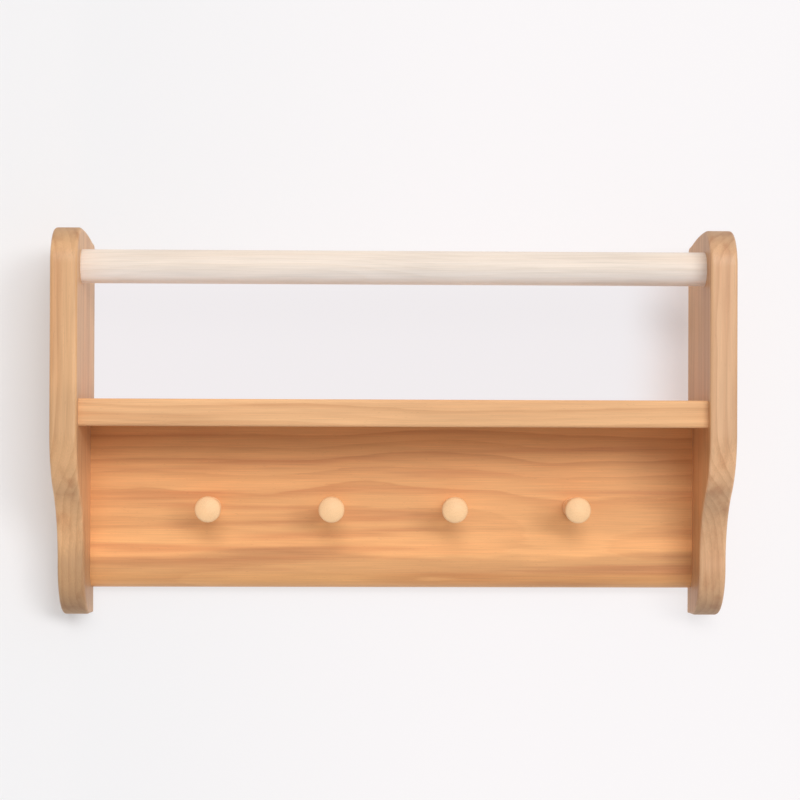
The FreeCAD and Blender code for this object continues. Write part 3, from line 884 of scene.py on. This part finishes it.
# %% Make the wall and the floor
def wall_paint(f):
    """The wall's tone and its own light.

    The tone rises from left to right, and between the panels it is greyer, a painted shade. The
    light is 0.75, but 0.06 left of the shelf, and between the panels 0.97 that falls to 0.45 by the
    right one.
    """
    place = f.millimetres()
    x, z = (f.node("SeparateXYZ", values={"Vector": place}, result=axis) for axis in "XZ")
    left = 1 - f.step(x, -262, -228)
    between_panels = 1 - f.step(abs(x), 228, 246)
    under_rail = 1 - f.step(z, 172, 196)
    bay = between_panels * f.step(z, 60, 82) * under_rail
    own = 0.75 + bay * (0.22 - f.step(x, 175, 228) * 0.52) - left * 0.69
    white = f.blend(f.step(x, -340, 120), colour(243, 242, 243), colour(250, 247, 248))
    # the tone between the panels is a painted shade
    return f.blend(bay, white, colour(241, 237, 239)), own


def floor_paint(f):
    """One pale tone, mostly lit by the room."""
    return colour(243, 240, 238), 0.3


def backdrop(name, paint, corners):
    """A flat sheet that isn't part of the object, with a tone and a share of light of its own."""
    mesh = bpy.data.meshes.new(name)
    mesh.from_pydata(corners, [], [(0, 1, 2, 3)])
    sheet = bpy.data.objects.new(name, mesh)
    bpy.context.scene.collection.objects.link(sheet)
    sheet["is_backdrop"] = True
    f = Finish(bpy.data.materials.new(name + "_paint"))
    shade, own_light = paint(f)
    lit = f.node("BsdfDiffuse", values={"Color": shade})
    own = f.node("Emission", values={"Color": shade, "Strength": 1.0})
    coat = f.node("MixShader", values={0: own_light, 1: lit, 2: own})
    seen, glossy = (f.node("LightPath", result=f"Is {ray} Ray") for ray in ("Camera", "Glossy"))
    front = 1 - f.node("NewGeometry", result="Backfacing")
    clear = f.node("BsdfTransparent")
    shown = f.node("MixShader", values={0: (seen + glossy) * front, 1: clear, 2: coat})
    f.node("OutputMaterial", values={"Surface": shown})
    mesh.materials.append(f.owner)
    return sheet


WALL_Y, FLOOR_Z, FAR = 0.0006, -1.15, 5.0         # metres, the wall just clear of the shelf's back
wall = backdrop("wall", wall_paint, [
    (-FAR, WALL_Y, FLOOR_Z), (FAR, WALL_Y, FLOOR_Z), (FAR, WALL_Y, FAR), (-FAR, WALL_Y, FAR),
])
backdrop("floor", floor_paint, [
    (-FAR, -FAR, FLOOR_Z), (FAR, -FAR, FLOOR_Z), (FAR, FAR, FLOOR_Z), (-FAR, FAR, FLOOR_Z),
])
print("wall faces", [round(v) for v in wall.data.polygons[0].normal])

# %% Light it
def sun(name, turned_right, raised, strength, spread):
    """A sun lamp in front of the wall, by its angles to the right and up, in degrees."""
    lamp = bpy.data.objects.new(name, bpy.data.lights.new(name, "SUN"))
    lamp.data.energy = strength
    lamp.data.angle = math.radians(spread)
    a, e = math.radians(turned_right), math.radians(raised)
    toward = Vector((math.sin(a) * math.cos(e), -math.cos(a) * math.cos(e), math.sin(e)))
    lamp.rotation_euler = toward.to_track_quat("Z", "Y").to_euler()
    bpy.context.scene.collection.objects.link(lamp)
    return lamp


ROOM = (0.93, 0.92, 0.92, 1.0)                    # how the empty room looks


def room_light(below, level, above, behind):
    """A white world: its strength from below, from the level and from above, and more behind."""
    f = Finish(bpy.data.worlds.new("room"))
    toward = f.node("TexCoord", result="Generated")
    back, rise = (f.node("SeparateXYZ", values={"Vector": toward}, result=axis) for axis in "YZ")
    stops = [(0.0, below), (0.5, level), (1.0, above)]
    strength = f.node("ValToRGB", {"stops": stops}, {"Fac": rise * 0.5 + 0.5})
    seen = f.node("LightPath", result="Is Camera Ray")
    glow = f.blend(seen, strength + f.step(back, 0, 0.2) * behind, ROOM)
    background = f.node("Background", values={"Color": glow, "Strength": 1.0})
    f.node("OutputWorld", values={"Surface": background})
    return f.owner


SUNS = ((-2, 27), (14, 20), (30, 13))             # how far to the right and up, in degrees
for number, (turned_right, raised) in enumerate(SUNS, 1):
    sun(f"key_{number}", turned_right, raised, strength=0.645, spread=17)
bpy.context.scene.world = room_light(below=0.62, level=0.33, above=0.72, behind=0.4)

# %% [markdown]
# ## Done
#
# The piece must not have grown: the box of what is shown is set beside the box of the solids.

# %% Compare the boxes and finish
seen_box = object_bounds()
low = max(a - b for a, b in zip(cad_box[0], seen_box[0]))
high = max(b - a for a, b in zip(cad_box[1], seen_box[1]))
print(f"the shown object reaches {max(low, high) / MM:.2f} mm past the solids")
